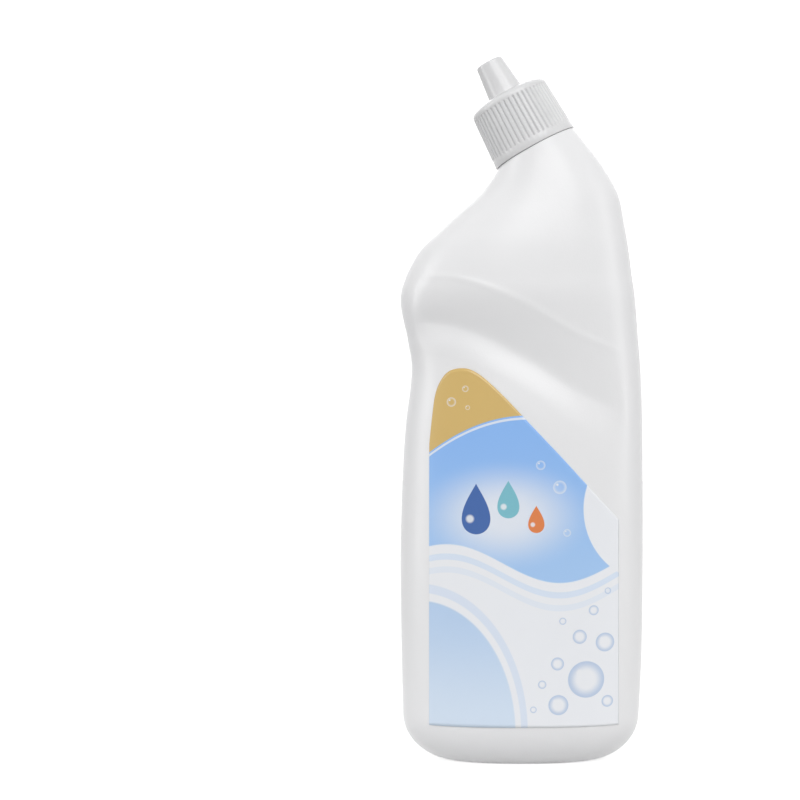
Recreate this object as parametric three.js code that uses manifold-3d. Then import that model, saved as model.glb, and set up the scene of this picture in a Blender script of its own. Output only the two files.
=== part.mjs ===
// Bottle of thick cleaner: a blow-moulded oval body with a waist and a leaning threaded neck,
// a pouring insert pressed into the neck, a foam washer, a ribbed screw cap with a hollow spout,
// a film label on the front and one on the back, and the cleaner inside.
// Millimetres, +Z up. The origin is on the table under the middle of the body's width and depth.
// The front faces -Y and the neck leans towards -X.

import * as THREE from 'three';
import { mergeVertices } from 'three/addons/utils/BufferGeometryUtils.js';
import Module from 'manifold-3d';

// Body
const BODY_WIDTH = 84.8;
const BODY_DEPTH = 46;
const BODY_WALL = 1.2;
const FOOT_WIDTH = 46;
const FOOT_DEPTH = 25;
const FOOT_CORNER_HEIGHT = 16;
const FOOT_RING_WIDTH = 3.5;
const PUSH_UP = 2.2;
const WAIST_HEIGHT = 134.7;
const WAIST_INSET = 3.9;
const WAIST_FRONT_INSET = 1.6;
const BULGE_HEIGHT = 159;
const OVAL_POWER = 2.3;

// Diagonal moulded groove across the front and the back, with a low bead along its lower side
const GROOVE_DEPTH = 3.6;
const GROOVE_BEAD = 0.35;
const GROOVE_HEIGHT = 22;
const GROOVE_LEFT_Z = 157;
const GROOVE_RIGHT_Z = 125.5;

// Neck: the point on its axis where the cap's lower edge lies, and how far it leans
const NECK_X = 4.8;
const NECK_Z = 213.2;
const NECK_LEAN = 28.4;
const NECK_RADIUS = 11.7;
const NECK_BORE_RADIUS = 10.3;
const NECK_LENGTH = 15.5;
const LAND_RADIUS = 15.1;
const LAND_GAP = 0.3;

// Thread
const THREAD_PITCH = 4.233;
const THREAD_HEIGHT = 1;
const THREAD_ROOT_WIDTH = 2.2;
const THREAD_CREST_WIDTH = 1.1;
const NECK_THREAD_START = 7.6;
const NECK_THREAD_TURNS = 1.25;
const CAP_THREAD_TURNS = 1.25;
const CAP_THREAD_LEAD = 0.25;

// Clearance between pieces that touch on the real bottle
const FIT = 0.3;

// Pouring insert and washer
const FLANGE_THICKNESS = 0.8;
const FLANGE_RADIUS = 11.6;
const PLUG_LENGTH = 6;
const PLUG_WALL = 0.9;
const NOZZLE_BASE_RADIUS = 4.4;
const NOZZLE_TIP_RADIUS = 2.9;
const NOZZLE_LENGTH = 12.5;
const NOZZLE_BORE_RADIUS = 2.4;
const ORIFICE_RADIUS = 1.3;
const WASHER_THICKNESS = 0.8;
const WASHER_INNER_RADIUS = 6;

// Cap
const CAP_RADIUS = 15.5;
const CAP_SHOULDER_RADIUS = 14.3;
const CAP_BAND_HEIGHT = 2.7;
const CAP_TOP_WALL = 1.1;
const CAP_SHOULDER_RISE = 2.2;
const CAP_FACE_RADIUS = 11;
const RIB_COUNT = 50;
const RIB_DEPTH = 0.5;
const SPOUT_BASE_RADIUS = 6.3;
const SPOUT_TIP_RADIUS = 5;
const SPOUT_LENGTH = 13;
const SPOUT_WALL = 1.1;

// Labels
const LABEL_LEFT = -31.6;
const LABEL_RIGHT = 33.3;
const LABEL_BOTTOM = 13.9;
const LABEL_PEAK = 136;
const LABEL_RIGHT_TOP = 84.2;
const LABEL_THICKNESS = 0.25;

// Cleaner
const FILL_HEIGHT = 186;

const COLUMNS = 48;
const INNER_COLUMNS = 24;
const THREAD_COLUMNS = 36;

const deg = Math.PI / 180;
const wasm = await Module();
wasm.setup();

function clamp01(value) {
  return Math.min(1, Math.max(0, value));
}

function smooth(low, high, value) {
  const t = clamp01((value - low) / (high - low));
  return t * t * (3 - 2 * t);
}

// Value of a smooth curve through equally numbered keys at position u
function through(keys, u) {
  const last = keys.length - 1;
  const i = Math.min(last - 1, Math.max(0, Math.floor(u)));
  const t = u - i;
  const before = keys[Math.max(0, i - 1)];
  const after = keys[Math.min(last, i + 2)];
  const start = (keys[i + 1] - before) / 2;
  const end = (after - keys[i]) / 2;
  const gap = keys[i + 1] - keys[i];
  return keys[i] + start * t + (3 * gap - 2 * start - end) * t * t + (start + end - 2 * gap) * t * t * t;
}

// Triangles between a lower and an upper ring. One of them may have a whole number of times
// as many points as the other, and a ring of one point closes the surface.
function bridge(triangles, lower, upper) {
  const few = Math.min(lower.length, upper.length);
  if (few === 1) {
    const ring = lower.length > 1 ? lower : upper;
    for (let j = 0; j < ring.length; j++) {
      const next = ring[(j + 1) % ring.length];
      if (lower.length > 1) triangles.push([ring[j], next, upper[0]]);
      else triangles.push([lower[0], next, ring[j]]);
    }
    return;
  }
  const below = lower.length / few;
  const above = upper.length / few;
  for (let j = 0; j < few; j++) {
    const low = Array.from({ length: below + 1 }, (_, k) => lower[(j * below + k) % lower.length]);
    const high = Array.from({ length: above + 1 }, (_, k) => upper[(j * above + k) % upper.length]);
    const lowHalf = Math.ceil(below / 2);
    const highHalf = Math.floor(above / 2);
    for (let k = 0; k < highHalf; k++) triangles.push([low[0], high[k + 1], high[k]]);
    for (let k = 0; k < below; k++) {
      triangles.push([low[k], low[k + 1], k < lowHalf ? high[highHalf] : high[above]]);
      if (k === lowHalf - 1) {
        for (let m = highHalf; m < above; m++) triangles.push([low[k + 1], high[m + 1], high[m]]);
      }
    }
  }
}

function geometryOf(triangles) {
  const positions = triangles.flat().flatMap((p) => [p.x, p.y, p.z]);
  const geometry = new THREE.BufferGeometry();
  geometry.setAttribute('position', new THREE.Float32BufferAttribute(positions, 3));
  return mergeVertices(geometry, 1e-4);
}

// Closed surface through rings in order. A loop joins its last ring to its first.
function loft(rings, isLoop = false) {
  const triangles = [];
  for (let i = 0; i + 1 < rings.length; i++) bridge(triangles, rings[i], rings[i + 1]);
  if (isLoop) bridge(triangles, rings[rings.length - 1], rings[0]);
  return geometryOf(triangles);
}

function solidOf(geometry) {
  const bare = mergeVertices(geometry, 1e-4);
  return new wasm.Manifold(new wasm.Mesh({
    numProp: 3,
    vertProperties: new Float32Array(bare.attributes.position.array),
    triVerts: new Uint32Array(bare.index.array),
  }));
}

function geometryFrom(solid) {
  const mesh = solid.getMesh();
  const geometry = new THREE.BufferGeometry();
  geometry.setAttribute('position', new THREE.BufferAttribute(mesh.vertProperties, 3));
  geometry.setIndex(new THREE.BufferAttribute(mesh.triVerts, 1));
  return geometry;
}

// Ring about the local Z axis
function ring(radius, height, count) {
  return Array.from({ length: count }, (_, j) => {
    const angle = (2 * Math.PI * j) / count;
    return new THREE.Vector3(radius * Math.cos(angle), radius * Math.sin(angle), height);
  });
}

const neckGroup = new THREE.Group();
neckGroup.position.set(NECK_X, 0, NECK_Z);
neckGroup.rotation.y = -NECK_LEAN * deg;
neckGroup.updateMatrixWorld();

function neckRing(radius, height, count) {
  return ring(radius, height, count).map((p) => p.applyMatrix4(neckGroup.matrix));
}

// Body sections from the top of the foot's corner to the neck's land. Each gives the left and
// the right edge in the front view, the half depth and how square the oval is.
const halfWidth = BODY_WIDTH / 2;
const halfDepth = BODY_DEPTH / 2;
const land = neckRing(LAND_RADIUS, -LAND_GAP, COLUMNS);
const landLeft = land[COLUMNS / 2];
const landRight = land[0];
const straight = [
  // Share of the way from the foot's corner to the waist, left inset, right inset, front inset
  [0, 0.9, 1.4, 0],
  [0.185, 0.4, 0.4, 0],
  [0.438, 0, 0, 0],
  [0.64, 0.5, 0, WAIST_FRONT_INSET * 0.12],
  [0.832, 1.7, 0.1, WAIST_FRONT_INSET * 0.5],
  [1, WAIST_INSET, 0.7, WAIST_FRONT_INSET],
].map(([up, left, right, front]) => {
  const z = FOOT_CORNER_HEIGHT + up * (WAIST_HEIGHT - FOOT_CORNER_HEIGHT);
  const deep = 1 - front / halfDepth;
  return { left: [left - halfWidth, z], right: [halfWidth - right, z], deep, power: OVAL_POWER };
});
const chest = {
  left: [WAIST_INSET * 0.65 - halfWidth, WAIST_HEIGHT + 0.465 * (BULGE_HEIGHT - WAIST_HEIGHT)],
  right: [halfWidth - 1.6, WAIST_HEIGHT + 0.49 * (BULGE_HEIGHT - WAIST_HEIGHT)],
  deep: 1 - (WAIST_FRONT_INSET * 0.8) / halfDepth,
  power: OVAL_POWER,
};
const shoulder = [
  // Shares of the way from the bulge to the land: left across, left up, right across, right up;
  // then the share of the half depth and the power of the oval
  [0, 0, 0.109, 0.025, 0.985, OVAL_POWER],
  [0.047, 0.18, 0.16, 0.172, 0.965, 2.28],
  [0.199, 0.391, 0.214, 0.336, 0.92, 2.24],
  [0.403, 0.541, 0.281, 0.486, 0.86, 2.18],
  [0.62, 0.687, 0.361, 0.629, 0.79, 2.12],
  [0.795, 0.798, 0.571, 0.78, 0.73, 2.06],
  [0.924, 0.914, 0.819, 0.913, 0.68, 2.02],
  [1, 1, 1, 1, LAND_RADIUS / halfDepth, 2],
].map(([leftAcross, leftUp, rightAcross, rightUp, deep, power]) => ({
  left: [
    -halfWidth + leftAcross * (landLeft.x + halfWidth),
    BULGE_HEIGHT + leftUp * (landLeft.z - BULGE_HEIGHT),
  ],
  right: [
    halfWidth + rightAcross * (landRight.x - halfWidth),
    BULGE_HEIGHT + rightUp * (landRight.z - BULGE_HEIGHT),
  ],
  deep,
  power,
}));
const sections = [...straight, chest, ...shoulder];
const keys = {
  leftX: sections.map((s) => s.left[0]),
  leftZ: sections.map((s) => s.left[1]),
  rightX: sections.map((s) => s.right[0]),
  rightZ: sections.map((s) => s.right[1]),
  depth: sections.map((s) => s.deep * halfDepth),
  power: sections.map((s) => s.power),
};
const lastSection = sections.length - 1;

function sectionAt(u) {
  const left = new THREE.Vector3(through(keys.leftX, u), 0, through(keys.leftZ, u));
  const right = new THREE.Vector3(through(keys.rightX, u), 0, through(keys.rightZ, u));
  return {
    centre: left.clone().add(right).multiplyScalar(0.5),
    across: right.clone().sub(left).multiplyScalar(0.5),
    halfDepth: through(keys.depth, u),
    power: through(keys.power, u),
  };
}

// How deep the groove is at a point of the front view, from 0 to 1, and below 0 on the bead: a wall
// that falls from a crease, a slope that rises to the bead, and the bead's own lower side
const grooveFall = GROOVE_LEFT_Z - GROOVE_RIGHT_Z;
const grooveKeys = [0.01, -0.06, -0.34, -0.75, -1].map((k) => GROOVE_LEFT_Z + k * grooveFall);

function groove(x, z) {
  const along = (x + halfWidth) / BODY_WIDTH;
  const line = through(grooveKeys, clamp01(along) * (grooveKeys.length - 1));
  const reach = (GROOVE_HEIGHT / 2) * (0.88 + 0.34 * along);
  const off = (z - line) / reach;
  const wall = clamp01(off) ** 1.7;
  const bead = GROOVE_BEAD / GROOVE_DEPTH;
  const rise = (1 + bead) * smooth(0.1, 1.15, -off) - bead * smooth(1.15, 1.55, -off);
  const fade = smooth(0.05, 0.15, along) * (1 - 0.25 * smooth(0.45, 0.8, along));
  return (1 - wall - rise) * fade * (1 - smooth(0.8, 0.94, along));
}

// Ring of a body section, set in from the outer surface
function bodyRing(u, inset, count) {
  const s = sectionAt(u);
  const half = s.across.length();
  const direction = s.across.clone().normalize();
  const a = half - inset;
  const b = s.halfDepth - inset;
  return Array.from({ length: count }, (_, j) => {
    const angle = (2 * Math.PI * j) / count;
    const c = Math.cos(angle);
    const d = Math.sin(angle);
    const shareX = Math.sign(c) * Math.abs(c) ** (2 / s.power);
    const shareY = Math.sign(d) * Math.abs(d) ** (2 / s.power);
    const surface = s.centre.clone().addScaledVector(direction, shareX * half);
    const cut = GROOVE_DEPTH * groove(surface.x, surface.z) * smooth(0.1, 0.55, Math.abs(shareY));
    const point = s.centre.clone().addScaledVector(direction, shareX * a);
    point.y = shareY * b - Math.sign(shareY) * cut;
    return point;
  });
}

// Ring of the foot: t runs from the flat standing ring at 0 to the body's first section at 1
const firstLeft = sections[0].left[0];
const firstRight = sections[0].right[0];

function footRing(t, inset, count) {
  const turn = (t * Math.PI) / 2;
  const halfFoot = FOOT_WIDTH / 2;
  const middle = ((firstLeft + firstRight) / 2) * Math.sin(turn);
  const a = halfFoot + ((firstRight - firstLeft) / 2 - halfFoot) * Math.sin(turn) - inset;
  const b = FOOT_DEPTH / 2 + (halfDepth - FOOT_DEPTH / 2) * Math.sin(turn) - inset;
  const z = inset + (FOOT_CORNER_HEIGHT - inset) * (1 - Math.cos(turn));
  return Array.from({ length: count }, (_, j) => {
    const angle = (2 * Math.PI * j) / count;
    const c = Math.cos(angle);
    const d = Math.sin(angle);
    const x = Math.sign(c) * Math.abs(c) ** (2 / OVAL_POWER) * a;
    const y = Math.sign(d) * Math.abs(d) ** (2 / OVAL_POWER) * b;
    return new THREE.Vector3(middle + x, y, z);
  });
}

function baseRing(share, z, inset, count) {
  const a = (FOOT_WIDTH / 2 - FOOT_RING_WIDTH - inset) * share;
  const b = (FOOT_DEPTH / 2 - FOOT_RING_WIDTH - inset) * share;
  return ring(1, z, count).map((p) => new THREE.Vector3(
    Math.sign(p.x) * Math.abs(p.x) ** (2 / OVAL_POWER) * a,
    Math.sign(p.y) * Math.abs(p.y) ** (2 / OVAL_POWER) * b,
    p.z,
  ));
}

// Equal steps from the first section to the last one wanted
function steps(from, to, count) {
  return Array.from({ length: count + 1 }, (_, k) => from + ((to - from) * k) / count);
}

// Helical ridge standing on a wall of the given radius; outward is 1 on the neck, -1 in the cap
function threadRidge(wall, outward, start, turns, columns) {
  const stations = Math.round(turns * columns);
  const foot = wall - outward * 0.4;
  const rings = [];
  for (let k = 0; k <= stations; k++) {
    const angle = (2 * Math.PI * k) / columns;
    const rise = [0.4, 0.8][Math.min(k, stations - k)] ?? 1;
    const crest = wall + outward * THREAD_HEIGHT * rise;
    const middle = start + (THREAD_PITCH * k) / columns;
    const at = (radius, offset) => new THREE.Vector3(
      radius * Math.cos(angle),
      radius * Math.sin(angle),
      middle + offset,
    );
    const corners = [
      at(foot, -THREAD_ROOT_WIDTH / 2),
      at(crest, -THREAD_CREST_WIDTH / 2),
      at(crest, THREAD_CREST_WIDTH / 2),
      at(foot, THREAD_ROOT_WIDTH / 2),
    ];
    rings.push(outward > 0 ? corners.reverse() : corners);
  }
  const first = rings[0];
  const last = rings[rings.length - 1];
  const triangles = [
    [first[0], first[2], first[1]],
    [first[0], first[3], first[2]],
    [last[0], last[1], last[2]],
    [last[0], last[2], last[3]],
  ];
  for (let k = 0; k + 1 < rings.length; k++) bridge(triangles, rings[k], rings[k + 1]);
  return geometryOf(triangles);
}

// Bottle body
const straightSteps = steps(0, 4, 5).slice(1);
const grooveSteps = steps(4, 8, 13).slice(1);
const shoulderSteps = steps(8, lastSection, 8).slice(1);
const outerSteps = [...straightSteps, ...grooveSteps, ...shoulderSteps];
const innerSteps = [...steps(0, 4, 4), ...steps(4, 8, 9), ...steps(8, lastSection - 1, 5)]
  .filter((u, i, all) => u > 0 && u !== all[i - 1]);
const neckRootInset = -LAND_GAP - 1.6;

const bottleShell = loft([
  [new THREE.Vector3(0, 0, PUSH_UP)],
  baseRing(0.55, PUSH_UP * 0.9, 0, INNER_COLUMNS),
  baseRing(0.93, PUSH_UP * 0.3, 0, INNER_COLUMNS),
  baseRing(1, 0, 0, COLUMNS),
  footRing(0, 0, COLUMNS),
  ...steps(0, 1, 5).slice(1).map((t) => footRing(t, 0, COLUMNS)),
  ...outerSteps.slice(0, -1).map((u) => bodyRing(u, 0, COLUMNS)),
  land,
  neckRing(NECK_RADIUS, -LAND_GAP, COLUMNS),
  neckRing(NECK_RADIUS, NECK_LENGTH - 0.5, COLUMNS),
  neckRing(NECK_RADIUS - 0.4, NECK_LENGTH, COLUMNS),
  neckRing(NECK_BORE_RADIUS, NECK_LENGTH, COLUMNS),
  neckRing(NECK_BORE_RADIUS, neckRootInset, COLUMNS),
  ...innerSteps.toReversed().map((u) => bodyRing(u, BODY_WALL, INNER_COLUMNS)),
  ...[1, 0.66, 0.33, 0].map((t) => footRing(t, BODY_WALL, INNER_COLUMNS)),
  baseRing(0.9, BODY_WALL + PUSH_UP * 0.55, BODY_WALL, INNER_COLUMNS),
  baseRing(0.5, BODY_WALL + PUSH_UP, BODY_WALL, INNER_COLUMNS),
  [new THREE.Vector3(0, 0, BODY_WALL + PUSH_UP)],
]);
const neckThread = threadRidge(NECK_RADIUS, 1, NECK_THREAD_START, NECK_THREAD_TURNS, THREAD_COLUMNS);
const bottleBody = geometryFrom(solidOf(bottleShell).add(solidOf(neckThread.applyMatrix4(neckGroup.matrix))));

// Cleaner: the inside of the body up to the fill level
const gelInset = BODY_WALL + FIT;
const gelColumn = loft([
  [sectionAt(innerSteps[innerSteps.length - 1]).centre],
  ...innerSteps.toReversed().map((u) => bodyRing(u, gelInset, INNER_COLUMNS)),
  ...[1, 0.66, 0.33, 0].map((t) => footRing(t, gelInset, INNER_COLUMNS)),
  baseRing(0.9, gelInset + PUSH_UP * 0.55, gelInset, INNER_COLUMNS),
  baseRing(0.5, gelInset + PUSH_UP, gelInset, INNER_COLUMNS),
  [new THREE.Vector3(0, 0, gelInset + PUSH_UP)],
]);
gelColumn.index.array.reverse();
const belowFill = new THREE.BoxGeometry(BODY_WIDTH * 2, BODY_DEPTH * 2, FILL_HEIGHT * 2);
belowFill.deleteAttribute('normal');
belowFill.deleteAttribute('uv');
const gel = geometryFrom(solidOf(gelColumn).intersect(solidOf(belowFill)));

// Heights along the neck's axis of the stacked pieces
const flangeUnder = NECK_LENGTH + FIT;
const flangeTop = flangeUnder + FLANGE_THICKNESS;
const washerUnder = flangeTop + FIT;
const washerTop = washerUnder + WASHER_THICKNESS;
const ceiling = washerTop + FIT;
const capTop = ceiling + CAP_TOP_WALL;
const faceTop = capTop + CAP_SHOULDER_RISE;
const spoutTop = faceTop + SPOUT_LENGTH;

// Pouring insert: a skirt in the bore, a flange on the lip and a nozzle
const plugRadius = NECK_BORE_RADIUS - FIT;
const discUnder = flangeTop - PLUG_WALL - 0.4;
const insert = loft([
  ring(plugRadius - 0.4, flangeUnder - PLUG_LENGTH, INNER_COLUMNS),
  ring(plugRadius, flangeUnder - PLUG_LENGTH + 1, INNER_COLUMNS),
  ring(plugRadius, flangeUnder, INNER_COLUMNS),
  ring(FLANGE_RADIUS, flangeUnder, INNER_COLUMNS),
  ring(FLANGE_RADIUS, flangeTop, INNER_COLUMNS),
  ring(NOZZLE_BASE_RADIUS + 0.5, flangeTop, INNER_COLUMNS),
  ring(NOZZLE_BASE_RADIUS, flangeTop + 0.6, INNER_COLUMNS),
  ring(NOZZLE_TIP_RADIUS, flangeTop + NOZZLE_LENGTH, INNER_COLUMNS),
  ring(ORIFICE_RADIUS, flangeTop + NOZZLE_LENGTH, INNER_COLUMNS),
  ring(ORIFICE_RADIUS, flangeTop + NOZZLE_LENGTH - 1.5, INNER_COLUMNS),
  ring(NOZZLE_BORE_RADIUS * 0.8, flangeTop + NOZZLE_LENGTH - 2.5, INNER_COLUMNS),
  ring(NOZZLE_BORE_RADIUS, discUnder, INNER_COLUMNS),
  ring(plugRadius - PLUG_WALL, discUnder, INNER_COLUMNS),
  ring(plugRadius - PLUG_WALL, flangeUnder - PLUG_LENGTH, INNER_COLUMNS),
], true);

// Foam washer between the flange and the cap
const capBore = NECK_RADIUS + THREAD_HEIGHT + FIT;
const washer = loft([
  ring(WASHER_INNER_RADIUS, washerUnder, INNER_COLUMNS),
  ring(capBore - FIT * 2, washerUnder, INNER_COLUMNS),
  ring(capBore - FIT * 2, washerTop, INNER_COLUMNS),
  ring(WASHER_INNER_RADIUS, washerTop, INNER_COLUMNS),
], true);

// Ribbed ring of the cap: the ribs are flush with the wall, and the valleys between are cut into it
function ribRing(radius, height) {
  const shares = [0, 0.2, 0.6, 0.8];
  const points = [];
  for (let k = 0; k < RIB_COUNT; k++) {
    shares.forEach((share, i) => {
      const angle = (2 * Math.PI * (k + share)) / RIB_COUNT;
      const r = i === 1 || i === 2 ? radius : radius - RIB_DEPTH;
      points.push(new THREE.Vector3(r * Math.cos(angle), r * Math.sin(angle), height));
    });
  }
  return points;
}

// Screw cap, from inside the spout's tip, down the inside and up the outside
const ribLow = CAP_BAND_HEIGHT + 0.2;
const ribHigh = capTop - 0.6;
const shoulderWidth = CAP_SHOULDER_RADIUS - CAP_FACE_RADIUS;
const wallAt = (height) => CAP_RADIUS + (CAP_SHOULDER_RADIUS - CAP_RADIUS) * (height / capTop);
const capShell = loft([
  [new THREE.Vector3(0, 0, spoutTop - SPOUT_WALL)],
  ring(SPOUT_TIP_RADIUS - SPOUT_WALL, spoutTop - SPOUT_WALL, RIB_COUNT),
  ring(SPOUT_BASE_RADIUS - SPOUT_WALL, faceTop, RIB_COUNT),
  ring(SPOUT_BASE_RADIUS - SPOUT_WALL + 0.4, ceiling, RIB_COUNT),
  ring(capBore, ceiling, RIB_COUNT),
  ring(capBore, 0.6, RIB_COUNT),
  ring(capBore + 0.4, 0, RIB_COUNT),
  ring(wallAt(0) - 0.3, 0, RIB_COUNT),
  ring(wallAt(0), 0.3, RIB_COUNT),
  ring(wallAt(CAP_BAND_HEIGHT), CAP_BAND_HEIGHT, RIB_COUNT),
  ribRing(wallAt(ribLow), ribLow),
  ribRing(wallAt(ribHigh), ribHigh),
  ring(CAP_SHOULDER_RADIUS, capTop, RIB_COUNT),
  ring(CAP_FACE_RADIUS + shoulderWidth * 0.73, capTop + CAP_SHOULDER_RISE * 0.58, RIB_COUNT),
  ring(CAP_FACE_RADIUS, faceTop, RIB_COUNT),
  ring(SPOUT_BASE_RADIUS + 0.6, faceTop, RIB_COUNT),
  ring(SPOUT_BASE_RADIUS, faceTop + 0.9, RIB_COUNT),
  ring(SPOUT_TIP_RADIUS, spoutTop - 0.5, RIB_COUNT),
  ring(SPOUT_TIP_RADIUS - 0.5, spoutTop, RIB_COUNT),
  [new THREE.Vector3(0, 0, spoutTop)],
]);
const capThreadStart = NECK_THREAD_START - THREAD_PITCH / 2 - THREAD_PITCH * CAP_THREAD_LEAD;
const capThread = threadRidge(capBore, -1, capThreadStart, CAP_THREAD_TURNS, THREAD_COLUMNS);
capThread.rotateZ(-2 * Math.PI * CAP_THREAD_LEAD);
const cap = geometryFrom(solidOf(capShell).add(solidOf(capThread)));

// Point of the body's front surface, moved out along its normal by the given distance
function frontPoint(x, z, out) {
  let low = 0;
  let high = 7;
  for (let k = 0; k < 40; k++) {
    const u = (low + high) / 2;
    const s = sectionAt(u);
    const tilt = s.across.z / s.across.x;
    if (s.centre.z + tilt * (x - s.centre.x) < z) low = u;
    else high = u;
  }
  const s = sectionAt((low + high) / 2);
  const share = (x - s.centre.x) / s.across.x;
  const depthShare = (1 - Math.abs(share) ** s.power) ** (1 / s.power);
  const normal = new THREE.Vector3(
    (Math.sign(share) * Math.abs(share) ** (s.power - 1)) / s.across.x,
    -(depthShare ** (s.power - 1)) / s.halfDepth,
    0,
  ).normalize();
  return new THREE.Vector3(x, -depthShare * s.halfDepth, z).addScaledVector(normal, out);
}

// Front label: columns across, each running from the lower edge up to the curved upper edge
const labelTop = [
  [0, 0.5], [0.014, 0.328], [0.031, 0.174], [0.062, 0.077], [0.105, 0.019], [0.162, 0], [0.22, 0.01],
  [0.293, 0.068], [0.4, 0.193], [0.508, 0.336], [0.607, 0.467], [0.709, 0.602], [0.81, 0.741],
  [0.908, 0.876], [1, 1],
].map(([across, down]) => [
  LABEL_LEFT + across * (LABEL_RIGHT - LABEL_LEFT),
  LABEL_PEAK - down * (LABEL_PEAK - LABEL_RIGHT_TOP),
]);
const labelRows = 7;

function labelSheet(out) {
  return labelTop.map(([x, top]) => steps(LABEL_BOTTOM, top, labelRows).map((z) => frontPoint(x, z, out)));
}

function sheet(front, back) {
  const triangles = [];
  const quad = (a, b, c, d) => triangles.push([a, b, c], [a, c, d]);
  const lastColumn = front.length - 1;
  const lastRow = front[0].length - 1;
  for (let i = 0; i < lastColumn; i++) {
    for (let j = 0; j < lastRow; j++) {
      quad(front[i][j], front[i + 1][j], front[i + 1][j + 1], front[i][j + 1]);
      quad(back[i][j], back[i][j + 1], back[i + 1][j + 1], back[i + 1][j]);
    }
    quad(back[i][0], back[i + 1][0], front[i + 1][0], front[i][0]);
    quad(front[i][lastRow], front[i + 1][lastRow], back[i + 1][lastRow], back[i][lastRow]);
  }
  for (let j = 0; j < lastRow; j++) {
    quad(back[0][j], front[0][j], front[0][j + 1], back[0][j + 1]);
    quad(front[lastColumn][j], back[lastColumn][j], back[lastColumn][j + 1], front[lastColumn][j + 1]);
  }
  return triangles;
}

const frontTriangles = sheet(labelSheet(FIT + LABEL_THICKNESS), labelSheet(FIT));
const backTriangles = frontTriangles.map((t) => t.map((p) => new THREE.Vector3(p.x, -p.y, p.z)).reverse());

function piece(name, geometry, color, roughness) {
  geometry.computeVertexNormals();
  const mesh = new THREE.Mesh(geometry, new THREE.MeshStandardMaterial({ color, roughness, metalness: 0 }));
  mesh.name = name;
  return mesh;
}

const bottle = new THREE.Group();
neckGroup.add(
  piece('nozzle_insert', insert, 0xf4f4f0, 0.45),
  piece('sealing_washer', washer, 0xf0f0ec, 0.9),
  piece('screw_cap', cap, 0xf2f3f5, 0.4),
);
bottle.add(
  piece('bottle_body', bottleBody, 0xf0f2f5, 0.4),
  piece('cleaner_gel', gel, 0x2f74c0, 0.2),
  piece('front_label', geometryOf(frontTriangles), 0x9fc6ef, 0.3),
  piece('back_label', geometryOf(backTriangles), 0x9fc6ef, 0.3),
  neckGroup,
);

export default bottle;
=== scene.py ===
# Looks of a bottle of toilet cleaner: satin blow-moulded body with a diagonal groove, ribbed
# screw cap with a spout, a printed film label on each side, and the parts inside the neck.
# Lengths in the shape code are millimetres; objects are made in metres.
import math

import bmesh
import bpy
import numpy as np
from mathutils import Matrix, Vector


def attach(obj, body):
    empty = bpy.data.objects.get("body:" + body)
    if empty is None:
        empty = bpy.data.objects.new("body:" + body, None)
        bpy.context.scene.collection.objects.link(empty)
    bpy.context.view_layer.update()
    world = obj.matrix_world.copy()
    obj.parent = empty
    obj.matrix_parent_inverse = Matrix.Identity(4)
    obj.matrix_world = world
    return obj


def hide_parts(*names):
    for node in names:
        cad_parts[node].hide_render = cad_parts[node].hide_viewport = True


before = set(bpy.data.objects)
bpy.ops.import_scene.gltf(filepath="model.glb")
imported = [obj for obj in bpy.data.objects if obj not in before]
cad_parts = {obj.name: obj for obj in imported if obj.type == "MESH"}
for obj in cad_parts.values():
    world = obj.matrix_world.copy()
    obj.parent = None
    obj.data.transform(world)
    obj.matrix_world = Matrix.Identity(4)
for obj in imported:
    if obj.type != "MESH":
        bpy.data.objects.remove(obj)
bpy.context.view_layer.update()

MM = 0.001

# Body, with the sizes of the part's source except for the groove's depth and the land's top
BODY_WIDTH = 84.8
BODY_DEPTH = 46.0
BODY_WALL = 1.2
FOOT_WIDTH = 46.0
FOOT_DEPTH = 25.0
FOOT_CORNER_HEIGHT = 16.0
FOOT_RING_WIDTH = 3.5
PUSH_UP = 2.2
WAIST_HEIGHT = 134.7
WAIST_INSET = 3.9
WAIST_FRONT_INSET = 1.6
BULGE_HEIGHT = 159.0
OVAL_POWER = 2.3
GROOVE_DEPTH = 2.9
GROOVE_HEIGHT = 22.0
GROOVE_LEFT_Z = 157.0
GROOVE_RIGHT_Z = 125.5
CHEST_RIGHT_INSET = 1.6
NECK_X = 4.8
NECK_Z = 213.2
NECK_LEAN = math.radians(28.4)
NECK_RADIUS = 11.7
NECK_BORE_RADIUS = 10.3
NECK_LENGTH = 15.5
LAND_RADIUS = 15.1
LAND_GAP = 0.3
LAND_TOP = -0.14

# Thread
THREAD_PITCH = 4.233
THREAD_HEIGHT = 1.0
THREAD_ROOT_WIDTH = 2.2
THREAD_CREST_WIDTH = 1.1
THREAD_SINK = 0.35
THREAD_COLUMNS = 96
NECK_THREAD_START = 7.6
NECK_THREAD_TURNS = 1.25
CAP_THREAD_TURNS = 1.25
CAP_THREAD_LEAD = 0.25

# Cap
CAP_BORE = 13.0
CAP_CEILING = 18.0
CAP_RADIUS = 15.5
CAP_SHOULDER_RADIUS = 14.3
CAP_BAND_HEIGHT = 2.7
CAP_TOP = 19.1
FACE_TOP = 21.3
FACE_RADIUS = 11.0
SPOUT_TOP = 34.3
RIB_COUNT = 50
RIB_DEPTH = 0.62
SHOULDER_TURN = math.radians(62)
SPOUT_BASE_RADIUS = 6.3
SPOUT_TIP_RADIUS = 5.0
SPOUT_WALL = 1.1
SPOUT_FILLET = 0.9
SPOUT_ROUNDING = 0.7

# Label
LABEL_LEFT = -31.6
LABEL_RIGHT = 33.3
LABEL_BOTTOM = 13.9
LABEL_PEAK = 136.0
LABEL_RIGHT_TOP = 84.2
LABEL_LIFT = 0.13
LABEL_THICKNESS = 0.16
LABEL_COLUMNS = 84
LABEL_ROWS = 96

# Cleaner
FILL_HEIGHT = 186.0
FIT = 0.3

# Small rounding of an edge
EDGE = 0.15

# Points in a ring of the body, outside and inside
COLUMNS = 192
INNER_COLUMNS = 96


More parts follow.
